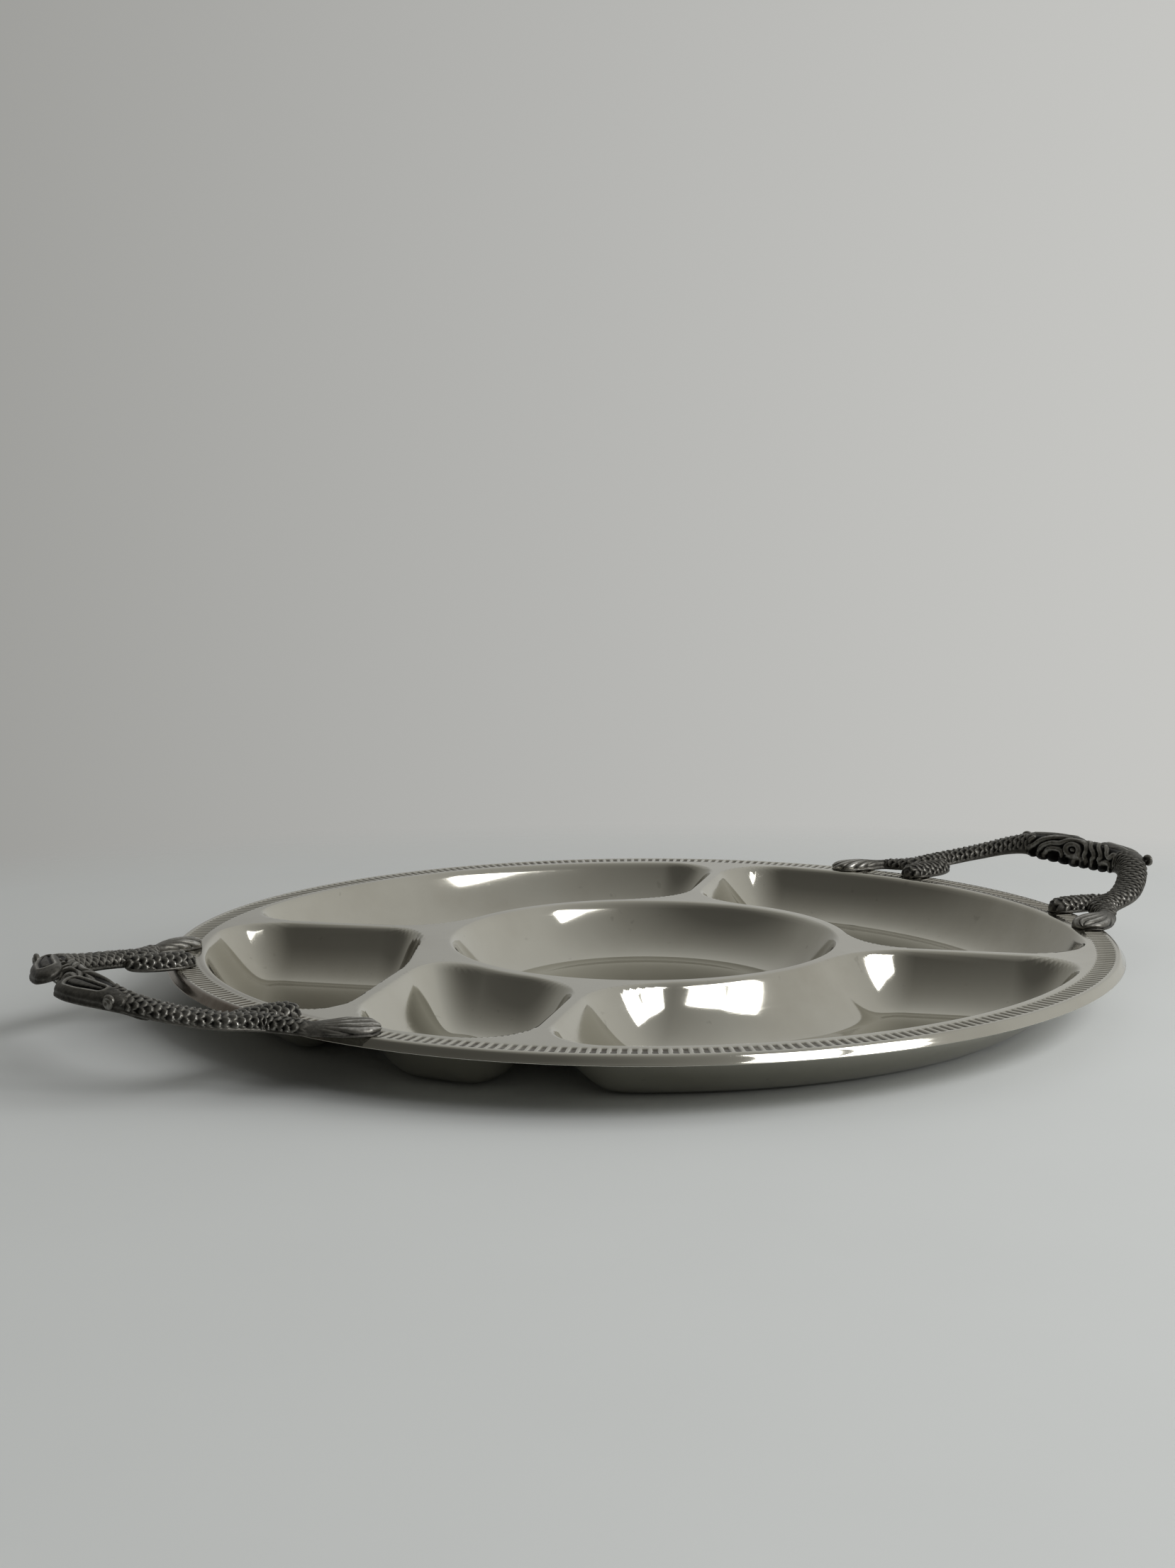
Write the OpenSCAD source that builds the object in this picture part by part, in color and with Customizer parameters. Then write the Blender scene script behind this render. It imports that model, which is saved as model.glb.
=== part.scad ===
// Round pressed-metal serving tray with a centre well, five outer wells, a fluted rim
// and two cast fish handles. Millimetres, +Z up, standing on z = 0 under its centre,
// with the handles along X.

/* [Tray] */
// Outside diameter of the rim
tray_d = 360; // [300:1:420]
// Height of the rim's top above the table
tray_h = 20.8; // [16:0.1:28]
// Thickness of the sheet
sheet_t = 0.8; // [0.6:0.1:1.2]
// Width of the border from the wells' edge to the outside of the rim
border_w = 13; // [12:0.5:18]

/* [Wells] */
// Diameter of the ring crest round the centre well
ring_d = 152; // [120:1:170]
// Width of the flat top of the ring and the ridges
crest_w = 3; // [2:0.5:6]
// Level distance over which a well's wall falls to its floor
wall_run = 21; // [16:0.5:24]
// Plan radius of the wells' corners
corner_r = 30; // [16:1:32]
// Direction of the first of the four straight ridges, degrees from the right handle
ridge_turn = 45; // [40:1:50]
// Distance of the skew ridge from the radial ridge that it runs beside
skew_offset = 71; // [62:0.5:72]

/* [Rim] */
// Number of flutes round the rim
flute_count = 340; // [200:20:360]
// Radial length of a flute
flute_len = 7.2; // [5:0.1:8]
// Distance from the outside of the rim to the flutes
flute_inset = 3.4; // [3:0.1:4.5]
// Depth of a flute
flute_depth = 0.45; // [0.2:0.05:0.6]
// Height of the turned-down edge
edge_h = 3.2; // [2.4:0.1:5]

/* [Handles] */
// Reach of a handle past the rim, to the middle of its grip
handle_reach = 44; // [38:0.5:60]
// Distance of the junction of body, fin and tail from the middle, along the rim
handle_half = 56; // [50:0.5:70]
// Rise of the right grip's underside over the rim's top
right_rise = 9.2; // [6:0.1:12]
// Rise of the left grip's underside, which use has pressed down a little
left_rise = 5.8; // [4:0.1:12]
// Width of a fish's body
body_w = 11.8; // [10:0.1:15]
// Thickness of a fish's body
body_t = 4.8; // [4:0.1:7]
// Height of the scales' relief
scale_relief = 0.5; // [0:0.1:0.8]
// Length of the tail fan
tail_len = 24; // [20:0.5:32]
// Width of the tail fan
tail_w = 15; // [12:0.5:20]
// Width of the scaled fin that lies on the rim
fin_w = 13; // [10:0.5:16]
// Thickness of the scaled fin
fin_t = 5.2; // [4.6:0.1:7]
// Length of the scaled fin
fin_len = 24; // [20:0.5:30]
// Length of the head
head_len = 32; // [26:0.5:38]

/* [Screws] */
// Diameter of a handle screw's shank
screw_d = 3; // [2.5:0.1:3.5]
// Diameter of a handle screw's head
screw_head_d = 5.6; // [4.5:0.1:6]
// Height of a handle screw's head
screw_head_h = 1.6; // [1:0.1:2]
// Depth of the screw hole in a handle
screw_hole_depth = 3.4; // [2.5:0.1:3.6]
// Clearance round the screw in the rim
screw_clearance = 0.2; // [0.1:0.05:0.4]

/* [Hidden] */

tray_r = tray_d / 2;
well_r = tray_r - border_w;
ring_r = ring_d / 2;
crest_half = crest_w / 2;
floor_drop = tray_h - sheet_t;
// The rim's sheet is thicker by this share of the flutes' depth, to back their grooves
flute_backing = 0.7;
rim_sheet = sheet_t + flute_depth * flute_backing;
flute_out_r = tray_r - flute_inset;
flute_in_r = flute_out_r - flute_len;
slope_step = 0.25;
edge_count = flute_count / 4;

// Each ridge is a line: its direction, and its offset from the tray's centre
ridges = [
    [ridge_turn, 0],
    [ridge_turn + 90, 0],
    [ridge_turn + 180, -skew_offset],
    [ridge_turn + 180, 0],
    [ridge_turn + 270, 0],
];
ridge_count = len(ridges);
// Columns in each well between the feet of its two side walls
floor_columns = [5, 2, 2, 5, 5];
// Places of the columns and rings down a wall, as shares of its run
wall_shares = [0.22, 0.48, 0.76, 1];
wall_steps = len(wall_shares);
// Largest share of a well's angle that one wall column may take, and that of the first
column_share = 0.1;
first_column = 0.4;

// Height of the upper face over the rim's plane, a soft S from crest to floor
function soft_step(t) = t <= 0 ? 0 : t >= 1 ? 1 : t * t * (3 - 2 * t);
function across(ridge, x, y) = y * cos(ridge[0]) - x * sin(ridge[0]) - ridge[1];
function along(ridge, x, y) = x * cos(ridge[0]) + y * sin(ridge[0]);
function short_of(distance) = max(0, corner_r - distance);
function next_ridge(k) = ridges[(k + 1) % ridge_count];

// Distance of a point inside the well that follows ridge k, with rounded corners
function inside_well(k, x, y) =
    along(next_ridge(k), x, y) < 0 ? -1 :
    corner_r - norm([
        short_of(across(ridges[k], x, y) - crest_half),
        short_of(-across(next_ridge(k), x, y) - crest_half),
        short_of(norm([x, y]) - ring_r - crest_half),
        short_of(well_r - norm([x, y])),
    ]);
function well_fall(x, y) =
    norm([x, y]) < ring_r
    ? soft_step((ring_r - crest_half - norm([x, y])) / wall_run)
    : max([for (k = [0 : ridge_count - 1]) soft_step(inside_well(k, x, y) / wall_run)]);
function upper_z(x, y) = tray_h - floor_drop * well_fall(x, y);

// A point of the lower face lies one sheet below the upper face, square to it
function slope_x(x, y) = (upper_z(x + slope_step, y) - upper_z(x - slope_step, y)) / (2 * slope_step);
function slope_y(x, y) = (upper_z(x, y + slope_step) - upper_z(x, y - slope_step)) / (2 * slope_step);
function under(p) =
    let (fall = [-slope_x(p.x, p.y), -slope_y(p.x, p.y), 1])
    p - fall * sheet_t / norm(fall);

// Direction of a ridge's line where it crosses a circle, moved sideways by a distance
function ridge_angle(k, r, side) =
    let (share = (ridges[k % ridge_count][1] + side) / r)
    ridges[k % ridge_count][0] + (k >= ridge_count ? 360 : 0) + asin(max(-1, min(1, share)));

// Columns of the net in well k, as shares of the angle between its two ridges
function wall_share(k, r, side, most) =
    let (gap = ridge_angle(k + 1, r, 0) - ridge_angle(k, r, 0))
    let (first = ridge_angle(k, r, side) - ridge_angle(k, r, 0))
    let (last = ridge_angle(k + 1, r, 0) - ridge_angle(k + 1, r, -side))
    [min(first / gap, most), min(last / gap, most)];
function well_columns(k, r) =
    let (start = ridge_angle(k, r, 0))
    let (gap = ridge_angle(k + 1, r, 0) - start)
    let (sides = concat([crest_half], [for (s = wall_shares) crest_half + s * wall_run]))
    let (shares = [for (i = [0 : wall_steps]) wall_share(k, r, sides[i], (i + first_column) * column_share)])
    let (low = shares[wall_steps][0])
    let (high = 1 - shares[wall_steps][1])
    let (count = floor_columns[k])
    concat(
        [for (i = [0 : wall_steps]) start + gap * shares[i][0]],
        [for (i = [1 : count]) start + gap * (low + (high - low) * i / (count + 1))],
        [for (i = [wall_steps : -1 : 0]) start + gap * (1 - shares[i][1])]
    );
function columns(r) =
    let (reach = max(r, ring_r + crest_half))
    [for (k = [0 : ridge_count - 1]) for (a = well_columns(k, reach)) a];

// Rings of the net, from the centre well's floor out to the wells' edge
inner_rings = [for (i = [wall_steps - 1 : -1 : 0]) ring_r - crest_half - wall_run * wall_shares[i]];
ring_feet = ring_r + crest_half + wall_run;
rim_feet = well_r - wall_run;
floor_rings = [for (i = [1, 2]) ring_feet + (rim_feet - ring_feet) * i / 3];
net_rings = concat(
    inner_rings,
    [ring_r - crest_half, ring_r + crest_half],
    [for (s = wall_shares) ring_r + crest_half + wall_run * s],
    floor_rings,
    [for (i = [wall_steps - 1 : -1 : 0]) well_r - wall_run * wall_shares[i]],
    [well_r]
);
net_count = len(columns(ring_r));
ring_total = len(net_rings);
net_angles = columns(well_r);

function net_ring(r) = [for (a = columns(r)) [r * cos(a), r * sin(a), upper_z(r * cos(a), r * sin(a))]];
function under_ring(ring) = [for (p = ring) under(p)];
function circle_points(r, z, count, turn) =
    [for (i = [0 : count - 1]) [r * cos(360 * (i + turn) / count), r * sin(360 * (i + turn) / count), z]];

// Faces between two rings of equal count, and between rings of unequal count
function band_faces(a, b, count) =
    [for (i = [0 : count - 1]) let (j = (i + 1) % count) each [[a + i, b + i, b + j], [a + i, b + j, a + j]]];
// In the net, each four points are split along the more level of their two diagonals
function net_faces(a, b, inner, outer) = [
    for (i = [0 : net_count - 1])
    let (j = (i + 1) % net_count)
    let (level = abs(inner[i].z - outer[j].z) <= abs(inner[j].z - outer[i].z))
    each level
        ? [[a + i, b + i, b + j], [a + i, b + j, a + j]]
        : [[a + i, b + i, a + j], [a + j, b + i, b + j]]
];
function fan_faces(centre, a, count) = [for (i = [0 : count - 1]) [centre, a + i, a + (i + 1) % count]];
function turned(faces) = [for (f = faces) [f[0], f[2], f[1]]];
function stitch_step(j, count) = floor(net_angles[j % net_count] * count / 360 + (j >= net_count ? count : 0));
// The circle's points are fanned from the net's columns, and a gap closes each fan
function stitch_faces(net, round, count) = [
    for (j = [0 : net_count - 1])
    let (first = stitch_step(j, count))
    let (last = stitch_step(j + 1, count))
    each concat(
        [for (k = [first : 1 : last - 1]) [net + j, round + k % count, round + (k + 1) % count]],
        [[net + j, round + last % count, net + (j + 1) % net_count]]
    )
];
function spread_faces(edge, flutes) = [
    for (j = [0 : edge_count - 1])
    let (next = (j + 1) % edge_count)
    each concat(
        [for (k = [0 : 3]) [edge + j, flutes + (4 * j + k + 1) % flute_count, flutes + 4 * j + k]],
        [[edge + j, edge + next, flutes + (4 * j + 4) % flute_count]]
    )
];
// Each flute has two slopes and two small end faces between its crests
function flute_faces(crest_in, crest_out, root_in, root_out) = [
    for (i = [0 : flute_count - 1])
    let (j = (i + 1) % flute_count)
    each [
        [crest_in + i, crest_out + i, root_out + i], [crest_in + i, root_out + i, root_in + i],
        [root_in + i, root_out + i, crest_out + j], [root_in + i, crest_out + j, crest_in + j],
        [crest_in + i, root_in + i, crest_in + j], [crest_out + i, crest_out + j, root_out + i],
    ]
];

// Profile of the rim's turned edge and underside: distance in from the outside, and down
edge_profile = [
    [sheet_t, sheet_t * 0.75],
    [0, edge_h * 0.6],
    [sheet_t / 2, edge_h],
    [sheet_t * 2, edge_h * 0.7],
    [flute_inset * 0.8, rim_sheet],
    [flute_inset + flute_len, rim_sheet],
];

// The whole sheet is one closed net: upper face, fluted rim, turned edge and lower face
module pan_sheet() {
    upper = [for (r = net_rings) net_ring(r)];
    lower = [for (ring = upper) under_ring(ring)];
    points = concat(
        [[0, 0, tray_h - floor_drop], [0, 0, 0]],
        [for (ring = upper) each ring],
        [for (ring = lower) each ring],
        circle_points(flute_in_r, tray_h, flute_count, 0),
        circle_points(flute_out_r, tray_h, flute_count, 0),
        circle_points(flute_in_r + flute_depth, tray_h - flute_depth, flute_count, 0.5),
        circle_points(flute_out_r - flute_depth, tray_h - flute_depth, flute_count, 0.5),
        [for (e = edge_profile) each circle_points(tray_r - e[0], tray_h - e[1], edge_count, 0)]
    );
    top = 2;
    bottom = top + ring_total * net_count;
    crest_in = bottom + ring_total * net_count;
    crest_out = crest_in + flute_count;
    root_in = crest_out + flute_count;
    root_out = root_in + flute_count;
    edge = root_out + flute_count;
    last_ring = (ring_total - 1) * net_count;
    last_edge = edge + (len(edge_profile) - 1) * edge_count;
    faces = concat(
        fan_faces(0, top, net_count),
        [for (i = [0 : ring_total - 2])
            each net_faces(top + i * net_count, top + (i + 1) * net_count, upper[i], upper[i + 1])],
        stitch_faces(top + last_ring, crest_in, flute_count),
        flute_faces(crest_in, crest_out, root_in, root_out),
        spread_faces(edge, crest_out),
        [for (i = [0 : len(edge_profile) - 2])
            each band_faces(edge + i * edge_count, edge + (i + 1) * edge_count, edge_count)],
        turned(stitch_faces(bottom + last_ring, last_edge, edge_count)),
        turned(fan_faces(1, bottom, net_count)),
        [for (i = [0 : ring_total - 2])
            let (a = bottom + i * net_count)
            each turned(net_faces(a, a + net_count, upper[i], upper[i + 1]))]
    );
    polyhedron(points = points, faces = turned(faces), convexity = 10);
}

// Places on and round the rim: length along the rim, distance out of it, height over its top
function rim_point(p) = [
    (tray_r + p[1]) * cos(p[0] / tray_r * 180 / PI),
    (tray_r + p[1]) * sin(p[0] / tray_r * 180 / PI),
    tray_h + p[2],
];

// A smooth line through stations. A station is a place, a width, a thickness, the share of
// scales on it, the rise of its underside towards its first side, and how much thinner that
// side is
function smooth_mix(a, b, c, d, t) =
    0.5 * (2 * b + (c - a) * t + (2 * a - 5 * b + 4 * c - d) * t * t + (3 * b - a - 3 * c + d) * t * t * t);
function smooth_line(stations, steps) =
    let (last = len(stations) - 1)
    concat(
        [for (i = [0 : last - 1]) for (j = [0 : steps - 1])
            let (before = stations[max(0, i - 1)])
            let (after = stations[min(last, i + 2)])
            smooth_mix(before, stations[i], stations[i + 1], after, j / steps)],
        [stations[last]]
    );
function across_middle(s) = [-s[0], s[1], s[2], s[3], s[4], s[5], s[6], s[7]];
function both_halves(half) = concat(half, [for (i = [len(half) - 2 : -1 : 0]) across_middle(half[i])]);

// Section of a casting: a flat underside, short upright edges and a domed, worked top
dome_points = 6;
section_count = dome_points + 2;
function on_dome(k) = k > 0 && k < dome_points - 1;
function section_relief(i, k, scales) = on_dome(k) ? ((i + k) % 2) * scales * scale_relief : 0;
function section_side(k) =
    k < dome_points ? cos(180 * k / (dome_points - 1)) : k == dome_points ? -1 : 1;
function section_height(station, i, k, edge_share) =
    k >= dome_points ? 0
    : station[4] * (edge_share + (1 - edge_share) * sin(180 * k / (dome_points - 1)))
      * (1 - station[7] * section_side(k)) + section_relief(i, k, station[5]);
function section_point(centre, side, station, i, k, edge_share) =
    let (aside = section_side(k) * station[3] / 2)
    centre + side * aside + [0, 0, section_height(station, i, k, edge_share) + station[6] * aside];
function line_side(line, i) =
    let (ahead = rim_point(line[min(i + 1, len(line) - 1)]))
    let (behind = rim_point(line[max(i - 1, 0)]))
    let (run = [ahead.x - behind.x, ahead.y - behind.y])
    [-run.y, run.x, 0] / norm(run);

// A casting's limb: its sections carried along a line of stations
module limb(stations, steps, edge_share) {
    line = smooth_line(stations, steps);
    rings = len(line);
    points = [
        for (i = [0 : rings - 1])
        let (side = line_side(line, i))
        for (k = [0 : section_count - 1])
            section_point(rim_point(line[i]), side, line[i], i, k, edge_share)
    ];
    polyhedron(
        points = points,
        faces = concat(
            [[for (k = [0 : section_count - 1]) k]],
            [for (i = [0 : rings - 2])
                each band_faces(i * section_count, (i + 1) * section_count, section_count)],
            [[for (k = [section_count - 1 : -1 : 0]) (rings - 1) * section_count + k]]
        ),
        convexity = 10
    );
}

// Stations of one half of a handle, from the tail's tip to the middle of the grip
root_gap = 14.3;
tail_root = handle_half + root_gap;
tail_out = 5.2;
tail_lean = tail_len * 0.625;
tail_t = 3.8;
// The fan is thinner by this share on its outer side
tail_taper = 0.25;
function tail_station(share, width, thickness) = [
    tail_root + tail_len * 0.75 * share,
    tail_out - tail_lean * share,
    0, width, thickness, 0, 0, tail_taper,
];
tail_stations = [
    tail_station(1, tail_w * 0.36, tail_t * 0.6),
    tail_station(0.9, tail_w * 0.84, tail_t * 0.8),
    tail_station(0.6, tail_w, tail_t * 0.95),
    tail_station(0.3, tail_w * 0.78, tail_t),
    tail_station(0, body_w * 0.6, tail_t),
];
// Body and grip are wedges, to a share: tall on their inner face, thin on their outer edge
wedge_slope = 0.42;
wedge_taper = 0.5;
// The body climbs from the rim to the grip: shares of the half length, reach and rise
function body_station(along, out, up, thick, wedge) = [
    handle_half * along, handle_reach * out, up, body_w, body_t * thick, 1,
    wedge_slope * wedge, wedge_taper * wedge,
];
function body_stations(rise) = [
    [handle_half + root_gap / 2, root_gap / 2, 0.2, body_w * 0.78, body_t * 0.84, 1, 0, 0],
    body_station(1, 0.23, rise * 0.08, 1, 0),
    body_station(0.88, 0.49, rise * 0.29, 1, 0.1),
    body_station(0.73, 0.7, rise * 0.58, 1.04, 0.2),
    body_station(0.57, 0.88, rise * 0.92, 1.18, 0.45),
];
grip_scales = 0.4;
function grip_station(along, out, up, wide, thick, wedge) = [
    head_len * along, handle_reach + out, up, body_w * wide, body_t * thick, grip_scales * (1 - wedge),
    wedge_slope * wedge, wedge_taper * wedge,
];
function grip_stations(rise) = [
    grip_station(0.75, -1.2, rise + 0.6, 0.96, 1.38, 0.7),
    grip_station(0.45, -1, rise + 0.2, 0.88, 1.58, 0.95),
    grip_station(0.22, -1, rise, 0.84, 1.66, 1),
    grip_station(0, -1, rise - 0.4, 0.82, 1.7, 1),
];

// The scaled fin: a teardrop that leaves the body and lies on the rim
fin_reach = -8.2;
fin_place = handle_half * 0.84;
function fin_station(share, aside, lift, width, thickness, scales) = [
    fin_place + aside, fin_reach + fin_len * share, lift, fin_w * width, fin_t * thickness, scales, 0, 0,
];
fin_stations = [
    fin_station(0, 2, 0, 0.3, 0.5, 0),
    fin_station(0.08, 1.8, 0, 0.74, 0.8, 1),
    fin_station(0.3, 1, 0, 1, 1, 1),
    fin_station(0.6, 0, 0, 0.94, 1, 1),
    fin_station(0.86, -0.4, 0.2, 0.6, 0.9, 1),
    fin_station(1, 0, 1.2, 0.24, 0.6, 0),
];

// The head: a smooth rounded brow along the outside of the grip, lower on its outer side
head_from = 4;
head_slope = 0.26;
function head_station(share, out, up, width, thick) = [
    head_from + head_len * share, handle_reach + out, up, body_w * width, body_t * thick, 0, head_slope, 0,
];
function head_stations(rise) = [
    head_station(0, 5.4, rise + 4.2, 0.3, 0.6),
    head_station(0.07, 5, rise + 4, 0.66, 0.85),
    head_station(0.4, 3.4, rise + 3.7, 0.86, 0.96),
    head_station(0.7, 1, rise + 3.1, 0.7, 0.94),
    head_station(0.9, -1.2, rise + 2, 0.28, 0.7),
];
curl_r = 2.2;
curl_along = head_len * 0.92;
curl_out = 4.2;
curl_up = 4.5;

module both_sides() {
    children();
    mirror([0, 1, 0]) children();
}

// Height of the upright edges of the castings' sections, as shares of their thickness
body_edge = 0.35;
head_edge = 0.6;

// The scrolls on the grip's inner face: a ring in the middle and an open scroll each side
scroll_tube = 1.1;
ring_scroll_r = 3.2;
side_scroll_r = 4.2;
side_scroll_along = 9.5;
scroll_out = -5.6;
scroll_up = 4;
scroll_lean = 60;
side_scroll_from = -60;
side_scroll_sweep = 250;
module scroll_at(rise, along_rim, radius, from, sweep) {
    translate(rim_point([along_rim, handle_reach + scroll_out, rise + scroll_up]))
        rotate([0, -scroll_lean, 0])
        rotate([0, 0, from])
        rotate_extrude(angle = sweep, $fn = 48)
        translate([radius, 0]) circle(scroll_tube, $fn = 16);
}

module casting(rise) {
    limb(both_halves(concat(tail_stations, body_stations(rise), grip_stations(rise))), 2, body_edge);
    both_sides() limb(fin_stations, 1, body_edge);
    both_sides() limb(head_stations(rise), 1, head_edge);
    both_sides()
        translate(rim_point([curl_along, handle_reach + curl_out, rise + curl_up]))
        sphere(curl_r, $fn = 24);
    scroll_at(rise, 0, ring_scroll_r, 0, 360);
    both_sides() scroll_at(rise, side_scroll_along, side_scroll_r, side_scroll_from, side_scroll_sweep);
}

module handle(rise) {
    difference() {
        casting(rise);
        both_sides()
            translate(rim_point(screw_place) - [0, 0, 1])
            cylinder(h = screw_hole_depth + 1, d = screw_d, $fn = 32);
    }
}

// Where each screw goes up through the rim into a fin, in the middle of the flutes' band
screw_aside = 1;
screw_place = [fin_place + screw_aside, (flute_in_r + flute_out_r) / 2 - tray_r, 0];
// Room over the screw's end in its hole
screw_end_gap = 0.2;
module screw_spots() {
    for (side = [-1, 1], turn = [0, 180])
        rotate([0, 0, turn]) mirror([0, side < 0 ? 1 : 0, 0]) translate(rim_point(screw_place)) children();
}

module handle_screws() {
    color([0.6, 0.6, 0.6])
    screw_spots() {
        translate([0, 0, -rim_sheet - screw_head_h])
            cylinder(h = screw_head_h, d = screw_head_d, $fn = 32);
        translate([0, 0, -rim_sheet])
            cylinder(h = rim_sheet + screw_hole_depth - screw_end_gap, d = screw_d, $fn = 32);
    }
}

module tray_pan() {
    color("silver")
    difference() {
        pan_sheet();
        screw_spots()
            translate([0, 0, -rim_sheet - 1])
            cylinder(h = rim_sheet + 2, d = screw_d + 2 * screw_clearance, $fn = 32);
    }
}
module right_handle() { color([0.3, 0.29, 0.27]) handle(right_rise); }
module left_handle() { color([0.3, 0.29, 0.27]) rotate([0, 0, 180]) handle(left_rise); }

tray_pan();
left_handle();
right_handle();
handle_screws();
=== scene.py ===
"""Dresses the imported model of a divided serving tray.

The pan is one pressed sheet of polished steel, and each handle is one antiqued
casting of two fish. Sizes inside the classes are millimetres in the frame of the
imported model: the tray stands on z = 0 under its centre, with the handles along X.
"""

import logging
from dataclasses import dataclass, field
from enum import Enum
from typing import Optional, Union

import bpy
import numpy as np
from mathutils import Matrix


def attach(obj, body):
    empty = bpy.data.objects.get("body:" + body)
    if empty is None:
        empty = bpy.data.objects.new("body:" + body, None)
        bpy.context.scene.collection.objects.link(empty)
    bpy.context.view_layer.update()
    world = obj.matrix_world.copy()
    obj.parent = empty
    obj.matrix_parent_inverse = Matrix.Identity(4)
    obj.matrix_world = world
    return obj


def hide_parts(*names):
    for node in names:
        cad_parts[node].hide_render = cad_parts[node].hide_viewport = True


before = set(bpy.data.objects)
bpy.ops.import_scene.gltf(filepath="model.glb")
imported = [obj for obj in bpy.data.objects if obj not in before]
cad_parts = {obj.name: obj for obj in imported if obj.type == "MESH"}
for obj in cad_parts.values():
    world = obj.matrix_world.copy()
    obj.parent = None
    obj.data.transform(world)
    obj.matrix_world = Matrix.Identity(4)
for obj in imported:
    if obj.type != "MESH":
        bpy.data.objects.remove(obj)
LOG = logging.getLogger("tray")
MM = 0.001
TAU = 2 * np.pi
RIM_R = 180.0
RIM_TOP = 20.8
Socket = bpy.types.NodeSocket
Value = Union[float, tuple, Socket]


class Slot(Enum):
    """Material slots of the record."""

    PAN = "polished_steel"
    CASTING = "antiqued_casting"
    SCREW = "plain_steel"


# ---- Shared numpy tools ----


def soft_step(t: np.ndarray) -> np.ndarray:
    """A soft S from 0 to 1: the square of t times three less twice t.

    Args:
        t: Places along the step, cut off at 0 and 1.

    Returns:
        The height of the step at each place.
    """
    t = np.clip(t, 0, 1)
    return t * t * (3 - 2 * t)


def dish_step(t: np.ndarray, bend: float, hollow: float = 2.0) -> np.ndarray:
    """A step from 0 to 1 like a dish's wall: a quick bend over the crest, then a long hollow.

    Up to the bend it grows with the square of t. From there on it is one less a
    multiple of what is left of t, to the power of the hollow. The two multiples
    make its height and its slope the same on both sides of the bend.

    Args:
        t: Places along the step, cut off at 0 and 1.
        bend: Where the bend ends and the hollow starts.
        hollow: The power, which is higher for a wall that is steeper at its top.

    Returns:
        The height of the step at each place.
    """
    t, left = np.clip(t, 0, 1), 1 - bend
    ease = 1 / (left ** (hollow - 1) * (left + hollow * bend / 2))
    rise = hollow * ease * left ** (hollow - 1) / (2 * bend)
    return np.where(t < bend, rise * t * t, 1 - ease * (1 - t) ** hollow)


def between(t: np.ndarray, start: float, end: float) -> np.ndarray:
    """Soft step of t from start, where it is 0, to end, where it is 1."""
    return soft_step((t - start) / (end - start))


def bell(t: np.ndarray, middle: float, width: float) -> np.ndarray:
    """Bell curve: e to the power of less the square of the distance from its middle in widths."""
    return np.exp(-(((t - middle) / width) ** 2))


def unit(rows: np.ndarray) -> np.ndarray:
    """Vectors on the last axis, each divided by its length."""
    return rows / np.linalg.norm(rows, axis=-1, keepdims=True)


def polar(r: np.ndarray, angle: np.ndarray, z: np.ndarray) -> np.ndarray:
    """Points from their radii, angles and heights, with x, y and z on the last axis."""
    return np.stack(np.broadcast_arrays(r * np.cos(angle), r * np.sin(angle), z), axis=-1)


def over_rim(along: np.ndarray, out: np.ndarray, up: np.ndarray) -> np.ndarray:
    """Points from their distance along the tray's rim, out of it and over its top."""
    return polar(RIM_R + out, along / RIM_R, RIM_TOP + up)


def run_length(line: np.ndarray) -> np.ndarray:
    """Distance along a line of points from its start to each of them."""
    return np.concatenate([[0], np.cumsum(np.linalg.norm(np.diff(line, axis=0), axis=1))])


def smooth_line(stations: np.ndarray, spacing: float) -> np.ndarray:
    """A smooth line through stations, at even spacing.

    Between two stations the line is the cubic whose slope at each of them is half
    the step from the station before it to the one after it. The cubic is then
    read off at equal lengths of its first three columns.

    Args:
        stations: One row for each station, with its place in the first columns.
        spacing: Distance between the rows of the result, in millimetres.

    Returns:
        The rows of the smooth line.
    """
    padded = np.vstack([2 * stations[0] - stations[1], stations, 2 * stations[-1] - stations[-2]])
    t = np.linspace(0, 1, 24, endpoint=False)[:, None, None]
    a, b, c, d = padded[:-3], padded[1:-2], padded[2:-1], padded[3:]
    pieces = 0.5 * (2 * b + (c - a) * t + (2 * a - 5 * b + 4 * c - d) * t**2 + (3 * b - a - 3 * c + d) * t**3)
    line = np.vstack([pieces.transpose(1, 0, 2).reshape(-1, stations.shape[1]), stations[-1]])
    run = run_length(line[:, :3])
    even = np.linspace(0, run[-1], int(run[-1] / spacing) + 1)
    return np.column_stack([np.interp(even, run, column) for column in line.T])


def distance_to_line(x: np.ndarray, y: np.ndarray, line: np.ndarray) -> np.ndarray:
    """Least distance from each point of a plane to a run of straight segments.

    Args:
        x: First coordinate of the points.
        y: Second coordinate of the points.
        line: The run's corners, one row each.

    Returns:
        The distance of each point.
    """
    nearest = np.full(x.shape, np.inf)
    for (ax, ay), (bx, by) in zip(line[:-1], line[1:]):
        dx, dy = bx - ax, by - ay
        t = np.clip(((x - ax) * dx + (y - ay) * dy) / (dx * dx + dy * dy + 1e-12), 0, 1)
        nearest = np.minimum(nearest, np.hypot(x - ax - t * dx, y - ay - t * dy))
    return nearest


def band_faces(rings: np.ndarray) -> list:
    """Quads between each two neighbours of a stack of closed rings, left side outwards."""
    pairs = zip(rings[:-1], rings[1:])
    return [np.column_stack([a, b, np.roll(b, -1), np.roll(a, -1)]) for a, b in pairs]


def fan_faces(ring: np.ndarray, tip: int) -> np.ndarray:
    """Triangles from each side of a closed ring to one point."""
    return np.column_stack([ring, np.roll(ring, -1), np.full(len(ring), tip)])


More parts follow.
